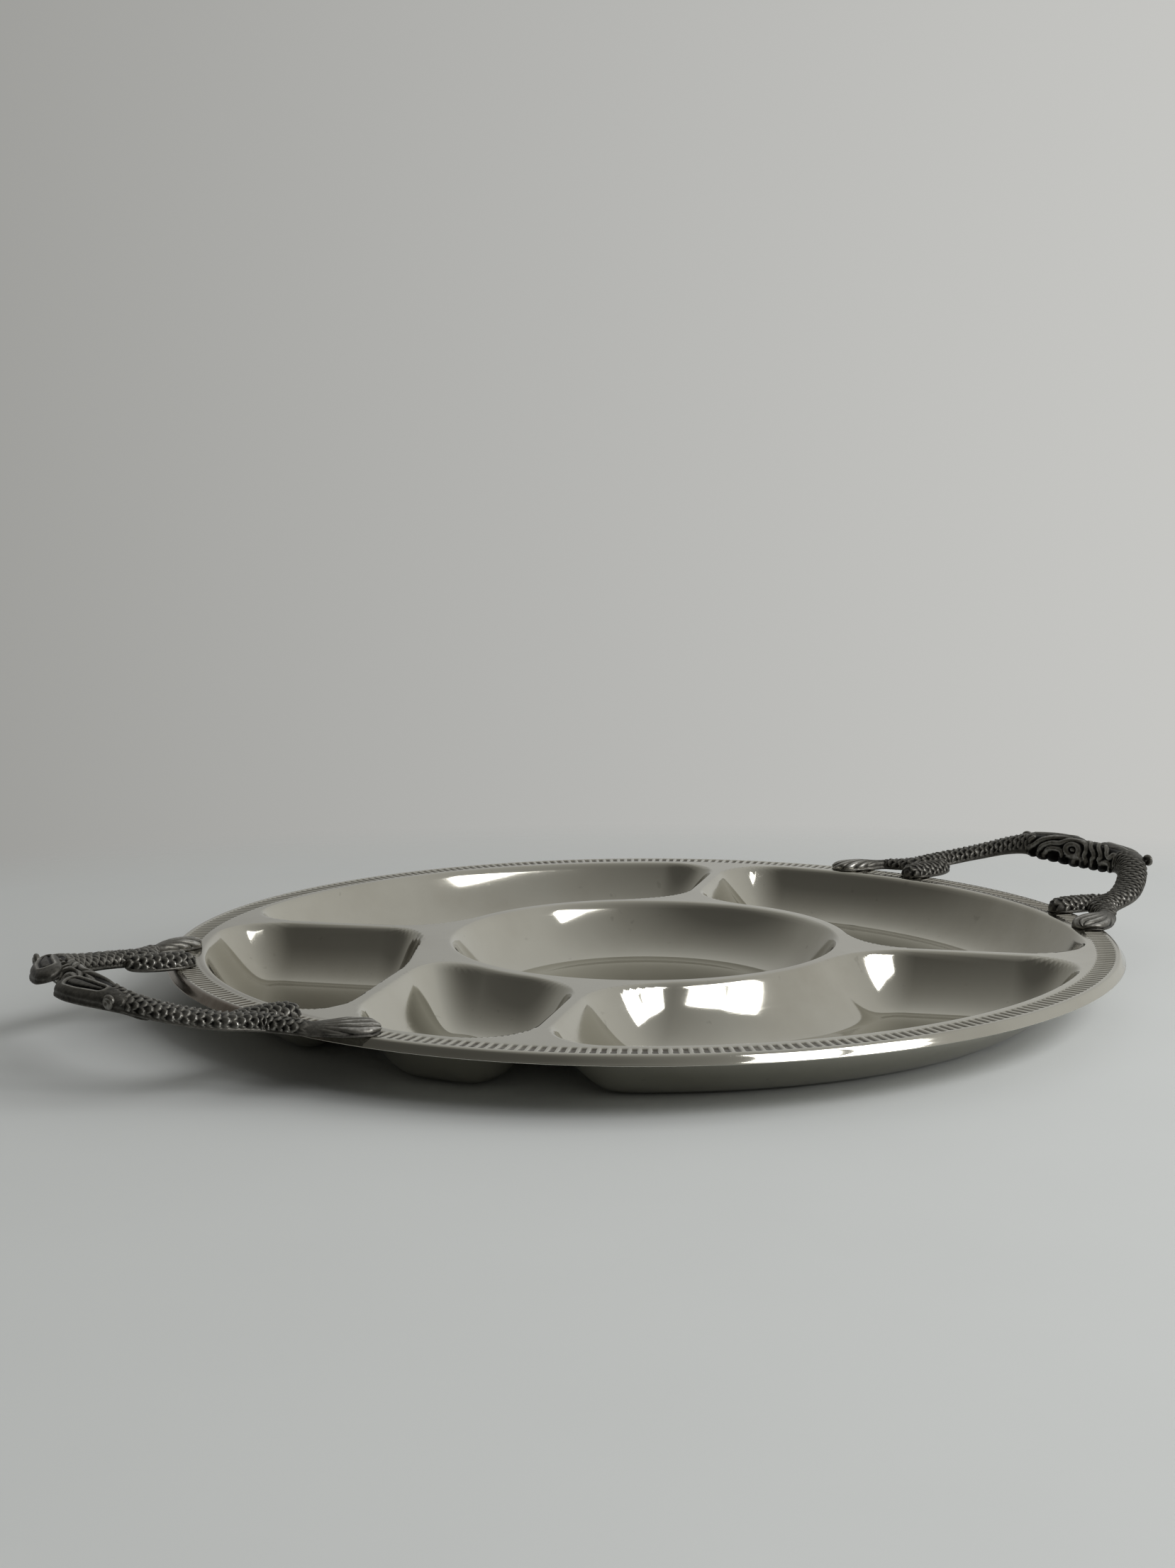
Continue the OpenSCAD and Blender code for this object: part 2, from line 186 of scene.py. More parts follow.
def stitch_faces(few: np.ndarray, many: np.ndarray) -> np.ndarray:
    """Triangles between a closed ring and one with a whole number of times its points.

    Each point of the first ring is fanned to its share of the second, and one more
    triangle closes the gap to the next point.

    Args:
        few: Indices of the ring with fewer points.
        many: Indices of the ring with more points.

    Returns:
        The triangles, one row each.
    """
    ratio = len(many) // len(few)
    fan = np.column_stack([np.repeat(few, ratio), many, np.roll(many, -1)])
    close = np.column_stack([few, np.roll(many, -ratio)[::ratio], np.roll(few, -1)])
    return np.vstack([fan, close])


def make_piece(name: str, points: np.ndarray, quads: list, triangles: list) -> bpy.types.Object:
    """Puts computed points and faces into a new smooth-shaded object at the origin.

    Args:
        name: The piece's name.
        points: Its points in millimetres, one row each.
        quads: Arrays of faces with four corners.
        triangles: Arrays of faces with three corners.

    Returns:
        The object.
    """
    quad, triangle = np.vstack(quads), np.vstack(triangles)
    corners = np.concatenate([quad.ravel(), triangle.ravel()]).astype(np.int32)
    starts = np.concatenate([4 * np.arange(len(quad)), 4 * len(quad) + 3 * np.arange(len(triangle))])
    mesh = bpy.data.meshes.new(name)
    mesh.vertices.add(len(points))
    mesh.vertices.foreach_set("co", (points * MM).astype(np.float32).ravel())
    mesh.loops.add(len(corners))
    mesh.loops.foreach_set("vertex_index", corners)
    mesh.polygons.add(len(starts))
    mesh.polygons.foreach_set("loop_start", starts.astype(np.int32))
    mesh.polygons.foreach_set("use_smooth", np.ones(len(starts), bool))
    mesh.update(calc_edges=True)
    piece = bpy.data.objects.new(name, mesh)
    bpy.context.scene.collection.objects.link(piece)
    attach(piece, "root")
    LOG.info("made %s with %d points and %d faces", name, len(points), len(starts))
    return piece


def set_attribute(piece: bpy.types.Object, name: str, values: np.ndarray) -> None:
    """Stores one number for each point of a piece, for its material to read."""
    attribute = piece.data.attributes.new(name, "FLOAT", "POINT")
    attribute.data.foreach_set("value", values.astype(np.float32).ravel())


def stand_at(thing: bpy.types.Object, axes: tuple, place: tuple) -> None:
    """Turns a camera or a lamp, puts it in its place and adds it to the scene.

    Args:
        thing: The object.
        axes: Its own three axes in the scene.
        place: Where it stands.
    """
    rows = np.column_stack([*axes, np.array(place)])
    thing.matrix_world = Matrix([*rows.tolist(), [0, 0, 0, 1]])
    bpy.context.scene.collection.objects.link(thing)


# ---- Materials ----


def fill_ramp(ramp: bpy.types.ColorRamp, stops: list) -> None:
    """Sets the stops of a colour ramp.

    Args:
        ramp: The ramp.
        stops: Each stop's place and its three colour values.
    """
    while len(ramp.elements) < len(stops):
        ramp.elements.new(0.5)
    for element, (where, colour) in zip(ramp.elements, stops):
        element.position, element.color = where, (*colour, 1)


class NodeSheet:
    """A material's node tree, with short calls for the nodes used here."""

    def __init__(self, name: str) -> None:
        """Makes an empty material with a Principled shader on its output.

        Args:
            name: The material's name.
        """
        self.material = bpy.data.materials.new(name)
        self.material.use_nodes = True
        self.tree = self.material.node_tree
        self.tree.nodes.clear()
        output = self.tree.nodes.new("ShaderNodeOutputMaterial")
        self.shader = self.tree.nodes.new("ShaderNodeBsdfPrincipled")
        self.join(self.shader.outputs["BSDF"], output.inputs["Surface"])
        self.place = self.tree.nodes.new("ShaderNodeTexCoord").outputs["Object"]

    def join(self, start: Socket, end: Socket) -> None:
        """Links one socket to another."""
        self.tree.links.new(start, end)

    def put(self, node: bpy.types.Node, name: Union[str, int], value: Value) -> None:
        """Sets an input to a value, or links it where the value is a socket.

        Args:
            node: The node.
            name: The input's name or number.
            value: The value or the socket.
        """
        if isinstance(value, Socket):
            self.join(value, node.inputs[name])
        else:
            node.inputs[name].default_value = value

    def math(self, operation: str, first: Value, second: Value, clamp: bool = False) -> Socket:
        """One arithmetic node of two numbers or sockets.

        Args:
            operation: The node's operation.
            first: Its first number or socket.
            second: Its second one.
            clamp: Whether the result is kept from 0 to 1.

        Returns:
            The result's socket.
        """
        node = self.tree.nodes.new("ShaderNodeMath")
        node.operation, node.use_clamp = operation, clamp
        self.put(node, 0, first)
        self.put(node, 1, second)
        return node.outputs[0]

    def scaled(self, value: Socket, factor: float, level: float) -> Socket:
        """A value times a factor, plus a level.

        Args:
            value: The value's socket.
            factor: The factor.
            level: The level.

        Returns:
            The result's socket.
        """
        result = self.math("MULTIPLY_ADD", value, factor)
        result.node.inputs[2].default_value = level
        return result

    def noise(
        self, scale: float, detail: float, rough: float, stretch: tuple = (1, 1, 1), turn: tuple = (0, 0, 0)
    ) -> Socket:
        """Noise on object coordinates.

        Args:
            scale: Features in a metre.
            detail: Octaves of finer noise.
            rough: Weight of the finer octaves.
            stretch: Factor on each axis of the coordinates.
            turn: Turn of the coordinates, in radians.

        Returns:
            The noise's value socket.
        """
        mapping = self.tree.nodes.new("ShaderNodeMapping")
        mapping.inputs["Scale"].default_value = stretch
        mapping.inputs["Rotation"].default_value = turn
        self.join(self.place, mapping.inputs["Vector"])
        node = self.tree.nodes.new("ShaderNodeTexNoise")
        self.join(mapping.outputs["Vector"], node.inputs["Vector"])
        for name, value in (("Scale", scale), ("Detail", detail), ("Roughness", rough)):
            self.put(node, name, value)
        return node.outputs["Fac"]

    def ramp(self, value: Socket, *stops: tuple) -> Socket:
        """A grey ramp over a value.

        Args:
            value: The socket it reads.
            stops: Each stop's place and its grey level.

        Returns:
            The ramp's colour socket.
        """
        node = self.tree.nodes.new("ShaderNodeValToRGB")
        self.join(value, node.inputs["Fac"])
        fill_ramp(node.color_ramp, [(where, (level,) * 3) for where, level in stops])
        return node.outputs["Color"]

    def mix(self, share: Socket, first: Value, second: Value) -> Socket:
        """A mix of two colours.

        Args:
            share: The second colour's share.
            first: The first colour or its socket.
            second: The second one.

        Returns:
            The mixed colour's socket.
        """
        node = self.tree.nodes.new("ShaderNodeMix")
        node.data_type = "RGBA"
        self.put(node, 0, share)
        for number, colour in ((6, first), (7, second)):
            self.put(node, number, (*colour, 1) if isinstance(colour, tuple) else colour)
        return node.outputs[2]

    def bump(self, height: Socket, strength: float, distance: float, normal: Optional[Socket] = None) -> Socket:
        """A bump node.

        Args:
            height: The height's socket.
            strength: Share of the bump that shows.
            distance: Depth of a full height, in metres.
            normal: The bump that it lies on, where there is one.

        Returns:
            The bumped normal's socket.
        """
        node = self.tree.nodes.new("ShaderNodeBump")
        for name, value in (("Strength", strength), ("Distance", distance), ("Height", height)):
            self.put(node, name, value)
        if normal is not None:
            self.join(normal, node.inputs["Normal"])
        return node.outputs["Normal"]

    def attribute(self, name: str) -> Socket:
        """The value of a point attribute.

        Args:
            name: The attribute's name.

        Returns:
            Its socket.
        """
        node = self.tree.nodes.new("ShaderNodeAttribute")
        node.attribute_name = name
        return node.outputs["Fac"]

    def metal(self, colour: Socket, rough: Socket, normal: Socket) -> bpy.types.Material:
        """Finishes the shader as bare metal.

        Args:
            colour: The base colour's socket.
            rough: The roughness socket.
            normal: The normal's socket.

        Returns:
            The material.
        """
        for name, value in (("Base Color", colour), ("Metallic", 1.0), ("Roughness", rough), ("Normal", normal)):
            self.put(self.shader, name, value)
        return self.material


@dataclass(frozen=True)
class PolishedSteel:
    """Pressed and polished stainless sheet, with hair scratches, light tarnish and dark soil specks, and shade
    painted dark into its flute grooves.
    """

    bright: tuple = (0.57, 0.556, 0.495)
    dull: tuple = (0.42, 0.395, 0.335)
    # Dark colour of the random soil specks, which also paints shade into the flute grooves.
    soil_and_shade: tuple = (0.07, 0.058, 0.045)
    brown: tuple = (0.17, 0.13, 0.105)
    speck_share: float = 0.14

    def make(self) -> bpy.types.Material:
        """Builds the material.

        Returns:
            The material.
        """
        sheet = NodeSheet(Slot.PAN.value)
        blotches = sheet.noise(38, 6, 0.7)
        clouds = sheet.ramp(sheet.noise(9, 5, 0.6), (0.42, 0), (0.7, 1))
        tarnish = sheet.math("MULTIPLY", clouds, blotches, True)
        specks = sheet.ramp(sheet.noise(210, 2, 0.5), (0.70, 0), (0.76, 1))
        uneven = sheet.ramp(blotches, (0.3, 0.6), (0.62, 1))
        rim = sheet.math("MULTIPLY", sheet.attribute("rim_tarnish"), uneven)
        # Painted shade: this attribute darkens the flute grooves with their depth, in patches.
        soil_and_shade = sheet.attribute("soil_and_shade")
        patchy = sheet.ramp(sheet.noise(55, 4, 0.6), (0.3, 0.65), (0.7, 1))
        base = sheet.mix(tarnish, self.bright, self.dull)
        base = sheet.mix(sheet.math("MULTIPLY", specks, self.speck_share), base, self.soil_and_shade)
        base = sheet.mix(rim, base, self.brown)
        base = sheet.mix(sheet.math("MULTIPLY", soil_and_shade, patchy), base, self.soil_and_shade)
        hairs = [
            sheet.ramp(sheet.noise(420, 3, 0.6, stretch, (0, 0, turn)), (0.62, 0), (0.72, 1))
            for stretch, turn in (((1, 0.02, 1), 0.5), ((0.02, 1, 1), -0.25))
        ]
        scratches = sheet.math("ADD", *hairs)
        rough = sheet.scaled(tarnish, 0.10, 0.06)
        for mark, extra_rough in ((scratches, 0.035), (soil_and_shade, 0.25), (rim, 0.12)):
            rough = sheet.math("ADD", rough, sheet.math("MULTIPLY", mark, extra_rough))
        waves = sheet.bump(sheet.noise(26, 2, 0.4), 0.12, 0.0005)
        return sheet.metal(base, rough, sheet.bump(scratches, 0.05, 0.00004, waves))


@dataclass(frozen=True)
class AntiquedCasting:
    """Dark antiqued casting: black in its hollows and worn bright on its edges."""

    hollow: tuple = (0.008, 0.0075, 0.007)
    body: tuple = (0.185, 0.178, 0.16)
    worn: tuple = (0.68, 0.67, 0.64)

    def make(self) -> bpy.types.Material:
        """Builds the material.

        Returns:
            The material.
        """
        sheet = NodeSheet(Slot.CASTING.value)
        height = sheet.attribute("relief")
        grain = sheet.noise(700, 5, 0.65)
        for noise, share in ((grain, 0.45), (sheet.noise(95, 4, 0.6), 0.35)):
            centred = sheet.math("SUBTRACT", noise, 0.5)
            height = sheet.math("ADD", height, sheet.math("MULTIPLY", centred, share))
        base = sheet.mix(sheet.ramp(height, (0.08, 0), (0.42, 1)), self.hollow, self.body)
        base = sheet.mix(sheet.ramp(height, (0.6, 0), (0.92, 1)), base, self.worn)
        rough = sheet.scaled(height, -0.22, 0.52)
        fine = sheet.bump(grain, 0.35, 0.00012)
        return sheet.metal(base, rough, sheet.bump(sheet.noise(240, 3, 0.5), 0.25, 0.0003, fine))


@dataclass(frozen=True)
class PlainSteel:
    """Plain steel of the screws, with turning marks."""

    colour: tuple = (0.55, 0.54, 0.52)
    mark_colour: tuple = (0.40, 0.39, 0.37)

    def make(self) -> bpy.types.Material:
        """Builds the material.

        Returns:
            The material.
        """
        sheet = NodeSheet(Slot.SCREW.value)
        marks = sheet.noise(900, 3, 0.5, (1, 1, 0.1))
        base = sheet.mix(marks, self.colour, self.mark_colour)
        return sheet.metal(base, sheet.scaled(marks, 0.2, 0.25), sheet.bump(marks, 0.1, 0.00005))


# ---- The pan ----


@dataclass
class Pan:
    """The pressed sheet: wells, ridges, fluted rim and turned-down edge.

    A ridge is its direction in degrees and its distance from the tray's centre.
    The rows across a flute are shares of its width and of its depth, and those
    along it are millimetres and shares of its depth. The edge's rows are radii
    and heights over the rim's top. A tarnish is the degrees from a handle's middle
    over which it goes.
    """

    sheet: float = 0.8
    well_r: float = 167.0
    ring_r: float = 76.0
    crest_half: float = 1.5
    wall_run: float = 22.0
    centre_run: float = 26.0
    centre_hollow: float = 2.25
    corner_r: float = 26.0
    crest_bend: float = 0.1
    slope_reach: float = 0.2
    flutes: int = 340
    flute_in: float = 169.2
    flute_depth: float = 0.5
    columns: int = 680
    under_columns: int = 340
    ridges: tuple = ((45, 0), (135, 0), (225, -71), (225, 0), (315, 0))
    wall_shares: tuple = (
        0, 0.02, 0.05, 0.08, 0.11, 0.15, 0.2, 0.26, 0.33, 0.4, 0.48, 0.56, 0.64, 0.72, 0.8, 0.88, 0.95, 1,
    )
    flute_across: tuple = (
        (0.0, 0.12), (0.12, 0.0), (0.25, 0.0), (0.37, 0.12), (0.46, 0.96), (0.56, 1.0), (0.81, 1.0), (0.91, 0.96),
    )
    flute_along: tuple = (
        (0.0, 0.0), (0.35, 0.12), (0.8, 0.95), (3.7, 1.0), (6.6, 0.95), (7.05, 0.12), (7.4, 0.0),
    )
    edge: tuple = (
        (177.2, 0.0), (177.75, -0.06), (178.15, -0.3), (178.45, -0.68), (178.8, -1.25), (179.15, -1.83),
        (179.5, -2.42), (179.8, -2.86), (180.0, -3.1), (179.85, -3.25), (179.3, -3.0), (178.6, -1.95),
        (178.0, -1.3), (176.8, -1.115), (169.3, -1.115),
    )
    left_tarnish: tuple = (12, 34)
    right_tarnish: tuple = (14, 36)
    right_turn: float = -8.0
    right_share: float = 0.45
    tarnish_radii: tuple = (166, 170)
    crest_tarnish: float = 0.05
    # Share of a flute's depth left free of painted shade, and a slight darkening of the flat border ring.
    unshaded_share: float = 0.2
    border_darkening: float = 0.12

    def fall(self, x: np.ndarray, y: np.ndarray) -> np.ndarray:
        """How far the sheet falls into a well, from 0 on the crests to 1 on a floor.

        A point's depth inside a well is the corner radius less the length of what
        its distances to the well's four sides lack of that radius. The fall is the
        dish step of that depth over the wall's run. The centre well takes the
        distance to the ring alone.

        Args:
            x: First coordinate of the points.
            y: Second coordinate of the points.

        Returns:
            The fall at each point.
        """
        r = np.hypot(x, y)
        depth = self.ring_r - self.crest_half - r
        fall = dish_step(depth / self.centre_run, self.crest_bend, self.centre_hollow)
        for (turn, shift), (next_turn, next_shift) in zip(self.ridges, self.ridges[1:] + self.ridges[:1]):
            a, b = np.radians(turn), np.radians(next_turn)
            sides = [
                y * np.cos(a) - x * np.sin(a) - shift - self.crest_half,
                -(y * np.cos(b) - x * np.sin(b) - next_shift) - self.crest_half,
                r - self.ring_r - self.crest_half,
                self.well_r - r,
            ]
            lacks = np.sqrt(sum(np.maximum(0, self.corner_r - side) ** 2 for side in sides))
            ahead = x * np.cos(b) + y * np.sin(b) >= 0
            well = dish_step((self.corner_r - lacks) / self.wall_run, self.crest_bend)
            fall = np.maximum(fall, np.where(ahead & (r >= self.ring_r), well, 0))
        return fall

    def height(self, x: np.ndarray, y: np.ndarray) -> np.ndarray:
        """Height of the upper face: the rim's height less the fall's share of the depth."""
        return RIM_TOP - (RIM_TOP - self.sheet) * self.fall(x, y)

    def net(self, radii: np.ndarray, columns: int) -> tuple:
        """Points of the upper face on rings, and the upward normals there.

        The normal leans against the slope, which is read off the height on both
        sides of each point.

        Args:
            radii: Radius of each ring.
            columns: Points on a ring.

        Returns:
            The points and the unit normals, each as rings by columns by three.
        """
        angle = TAU * np.arange(columns) / columns
        x, y = radii[:, None] * np.cos(angle), radii[:, None] * np.sin(angle)
        step = self.slope_reach
        lean_x = (self.height(x - step, y) - self.height(x + step, y)) / (2 * step)
        lean_y = (self.height(x, y - step) - self.height(x, y + step)) / (2 * step)
        normal = unit(np.stack([lean_x, lean_y, np.ones_like(x)], axis=2))
        return np.stack([x, y, self.height(x, y)], axis=2), normal

    def flute_rings(self) -> tuple:
        """Rings of the fluted band, with one point for each row across a flute.

        The height is the rim's less the depth times two shares: one across the
        flute, flat on the crest and in the groove, and one along it, which closes
        both ends.

        Returns:
            The points as rings by columns by three, and how deep each one lies, 0 to 1.
        """
        across, sunk = np.array(self.flute_across).T
        along, deep = np.array(self.flute_along).T[:, :, None]
        angle = TAU * (np.arange(self.flutes)[:, None] + across).ravel() / self.flutes
        share = deep * np.tile(sunk, self.flutes)
        return polar(self.flute_in + along, angle, RIM_TOP - self.flute_depth * share), share

    def edge_rings(self) -> np.ndarray:
        """Rings of the border outside the flutes, the turned edge and the rim's underside.

        Returns:
            The points as rings by columns by three.
        """
        r, z = np.array(self.edge).T[:, :, None]
        return polar(r, TAU * np.arange(self.columns) / self.columns, RIM_TOP + z)

    def ring_radii(self) -> tuple:
        """Radii of the rings of both faces, close together where a wall bends.

        Returns:
            The upper face's radii from the middle out, and the fewer ones of the
            lower face from the rim in.
        """
        foot_in = self.ring_r - self.crest_half - self.centre_run
        crest, rim_foot = self.ring_r + self.crest_half, self.well_r - self.wall_run
        down = np.array(self.wall_shares)
        outward, inward = self.wall_run * down, self.wall_run * (1 - down[::-1])
        centre_wall = foot_in + inward * self.centre_run / self.wall_run
        plain = np.linspace(crest + self.wall_run, rim_foot, 20)[1:-1]
        upper = [
            [6, 18, 30, 42], centre_wall, [self.ring_r], crest + outward, plain, rim_foot + inward,
            [self.flute_in - 1.1],
        ]
        bend, even = np.array([0, 1.2, 2.6]), np.linspace(crest + 5, self.well_r - 5, 27)
        lower = [centre_wall[::2], crest + bend, even, self.well_r - bend[::-1]]
        return np.concatenate(upper), np.concatenate(lower)[::-1]

    def rim_tarnish(self, points: np.ndarray) -> np.ndarray:
        """How brown the rim has gone: most beside the handles, where polishing misses it.

        It is the larger of two soft bumps over the angle from each handle's middle,
        times a soft step in over the last millimetres of the rim.

        Args:
            points: The sheet's points, one row each.

        Returns:
            The tarnish of each point, from 0 to 1.
        """
        turn = np.degrees(np.arctan2(points[:, 1], points[:, 0]))
        left = 1 - between(np.abs(np.abs(turn) - 180), *self.left_tarnish)
        right = self.right_share * (1 - between(np.abs(turn - self.right_turn), *self.right_tarnish))
        return np.maximum(left, right) * between(np.hypot(points[:, 0], points[:, 1]), *self.tarnish_radii)

    def build(self) -> bpy.types.Object:
        """Joins the rings of the whole sheet into one closed piece.

        Returns:
            The piece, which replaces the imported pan.
        """
        upper_r, lower_r = self.ring_radii()
        upper, upper_normal = self.net(upper_r, self.columns)
        lower, lower_normal = self.net(lower_r, self.under_columns)
        flute, sunk = self.flute_rings()
        groups = [
            np.array([[[0, 0, self.sheet]]]), upper, flute, self.edge_rings(),
            lower - lower_normal * self.sheet, np.zeros((1, 1, 3)),
        ]
        index, start = [], 0
        for group in groups:
            index.append(start + np.arange(group.shape[0] * group.shape[1]).reshape(group.shape[:2]))
            start = index[-1][-1, -1] + 1
        pole, top, ribs, lip, under, foot = index
        quads = [faces for rings in (top, ribs, lip, under) for faces in band_faces(rings)]
        triangles = [
            fan_faces(top[0], pole[0, 0]),
            stitch_faces(top[-1], ribs[0]),
            stitch_faces(lip[0], ribs[-1])[:, ::-1],
            stitch_faces(under[0], lip[-1])[:, ::-1],
            fan_faces(under[-1], foot[0, 0])[:, [1, 0, 2]],
        ]
        points = np.vstack([group.reshape(-1, 3) for group in groups])
        piece = make_piece("pan", points, quads, triangles)
        # Painted shade in the flute grooves: the darkening grows with a point's depth past the share left bright, and
        # the flat border ring is darkened a little.
        soil_and_shade, sunk = np.zeros(len(points)), sunk.ravel()
        soil_and_shade[ribs.ravel()] = np.clip((sunk - self.unshaded_share) / (1 - self.unshaded_share), 0, 1)
        soil_and_shade[lip[:2].ravel()] = self.border_darkening
        set_attribute(piece, "soil_and_shade", soil_and_shade)
        tarnish = self.rim_tarnish(points)
        tarnish[ribs.ravel()] *= self.crest_tarnish + (1 - self.crest_tarnish) * sunk
        set_attribute(piece, "rim_tarnish", tarnish)
        normals = np.zeros_like(points)
        normals[top.ravel()] = upper_normal.reshape(-1, 3)
        normals[under.ravel()] = -lower_normal.reshape(-1, 3)
        normals[pole[0, 0]], normals[foot[0, 0]] = (0, 0, 1), (0, 0, -1)
        piece.data.normals_split_custom_set_from_vertices(normals)
        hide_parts("tray_pan")
        return piece


# ---- The handles ----


@dataclass
class Limb:
    """One swept part of a casting, as a grid of sections along a line.

    Each section has a flat underside with a thin flange round it, short upright
    edges and a domed top. The columns of the line are its place, its width and
    thickness, the rise of its underside towards its first side, and how much
    thinner that side is. The flange's rows are shares of half the width and of
    the thickness.
    """

    line: np.ndarray
    girth: int = 60
    edge: float = 0.3
    fullness: float = 2.2
    round_start: float = 4.0
    round_end: float = 4.0
    flange: tuple = ((0.95, 0.2), (1.0, 0.17), (1.0, 0.05), (0.97, 0.0))
    dome: int = field(init=False)
    points: np.ndarray = field(init=False)
    normals: np.ndarray = field(init=False)
    along: np.ndarray = field(init=False)
    around: np.ndarray = field(init=False)
    across: np.ndarray = field(init=False)
    face: np.ndarray = field(init=False)

    def __post_init__(self) -> None:
        """Works out the grid, its normals and its two lengths.

        The ends are drawn in along a quarter of a circle.
        """
        u, v, z, width, thick, slope, taper = self.line.T
        x, height = self.section()
        centre = over_rim(u, v, z)
        step = unit(np.gradient(centre, axis=0) * (1, 1, 0))
        side = np.stack([-step[:, 1], step[:, 0], np.zeros(len(u))], axis=1)
        run = run_length(centre)
        draw = np.clip(np.minimum(run / self.round_start, (run[-1] - run) / self.round_end), 0, 1)
        draw = np.sqrt(np.maximum(1 - (1 - draw) ** 2, 0.0004))
        width, thick = width * draw, thick * (0.45 + 0.55 * draw)
        self.across = np.repeat(x[None], len(u), axis=0)
        aside = x[None] * width[:, None] / 2
        self.points = centre[:, None] + side[:, None] * aside[:, :, None]
        thinner = 1 - taper[:, None] * x[None]
        self.points[:, :, 2] += thick[:, None] * height[None] * thinner + slope[:, None] * aside
        self.face = np.repeat((np.arange(self.girth) < self.dome)[None].astype(float), len(u), axis=0)
        self.along = np.repeat(run[:, None], self.girth, axis=1)
        gaps = np.linalg.norm(self.points - np.roll(self.points, 1, axis=1), axis=2)
        gaps[:, 0] = 0
        arc = np.cumsum(gaps, axis=1)
        self.around = arc - arc[:, self.dome // 2, None]
        d_run = np.gradient(self.points, axis=0)
        d_round = np.roll(self.points, -1, axis=1) - np.roll(self.points, 1, axis=1)
        normal = np.cross(d_round, d_run)
        self.normals = normal / (np.linalg.norm(normal, axis=2, keepdims=True) + 1e-9)

    def section(self) -> tuple:
        """One section's outline, from shares of half the width and of the thickness.

        Its points run over the dome from one side to the other and back along the
        underside. The dome's height over its edge is one less the distance from
        the middle, both to the power of the fullness.

        Returns:
            The places across and the heights.
        """
        self.dome = int(self.girth * 0.72)
        x_dome = np.cos(np.pi * np.arange(self.dome) / (self.dome - 1))
        arch = np.maximum(1 - np.abs(x_dome) ** self.fullness, 0) ** (1 / self.fullness)
        reach, lift = np.array(self.flange).T
        base = self.girth - self.dome - 2 * len(reach)
        x = np.concatenate([x_dome * 0.94, -reach, np.linspace(-0.9, 0.9, base), reach[::-1]])
        return x, np.concatenate([self.edge + (1 - self.edge) * arch, lift, np.zeros(base), lift[::-1]])

    def worked(self, relief: np.ndarray) -> np.ndarray:
        """The grid with each point moved out along its normal by its relief.

        Args:
            relief: The relief of each point, which counts on the face and not at the ends.

        Returns:
            The moved points.
        """
        ends = np.ones(len(self.points))
        ends[[0, -1]] = 0
        return self.points + self.normals * (relief * self.face * ends[:, None])[:, :, None]


def scales(along: np.ndarray, around: np.ndarray, pitch: float, width: float, lift: float) -> tuple:
    """Overlapping fish scales, in rows set half a width apart.

    Each scale is a disc. Where discs overlap, the one nearer the head lies on top.
    A disc rises by three tenths over its whole length and by seven tenths over the
    part that shows, towards its free edge at the tail's side, and drops by four
    tenths at its rim. It is worn along a bell curve just inside its edge, and a
    little over its face.

    Args:
        along: Distance from the head.
        around: Distance from the body's middle line.
        pitch: Distance between rows.
        width: Distance between the scales of a row.
        lift: Rise of a scale's free edge.

    Returns:
        The relief of each point and how worn it is, from 0 to 1.
    """
    radius = 0.62 * width
    shown = 1 - 0.5 * pitch / radius
    row = np.floor(along / pitch)
    share, edge = np.full(along.shape, -1.0), np.zeros(along.shape)
    for back in range(4):
        at = row - 2 + back
        offset = 0.5 * (at % 2)
        ahead = along - (at + 0.4) * pitch
        aside = around - (np.round(around / width - offset) + offset) * width
        reach = np.hypot(ahead, aside * radius / (0.56 * width))
        inside = (reach < radius) & (share < 0)
        way = np.clip(0.5 + 0.5 * ahead / radius, 0, 1)
        fresh = np.clip((way - shown) / (1 - shown), 0, 1)
        rim = np.clip((radius - reach) / 0.2, 0, 1)
        share = np.where(inside, (0.3 * way + 0.7 * fresh) * (0.6 + 0.4 * rim), share)
        edge = np.where(inside, bell(radius - reach, 0.38, 0.3) * fresh**0.4, edge)
    share = np.maximum(share, 0)
    return lift * share, 0.42 * share + 0.58 * edge * (0.35 + 0.65 * share)


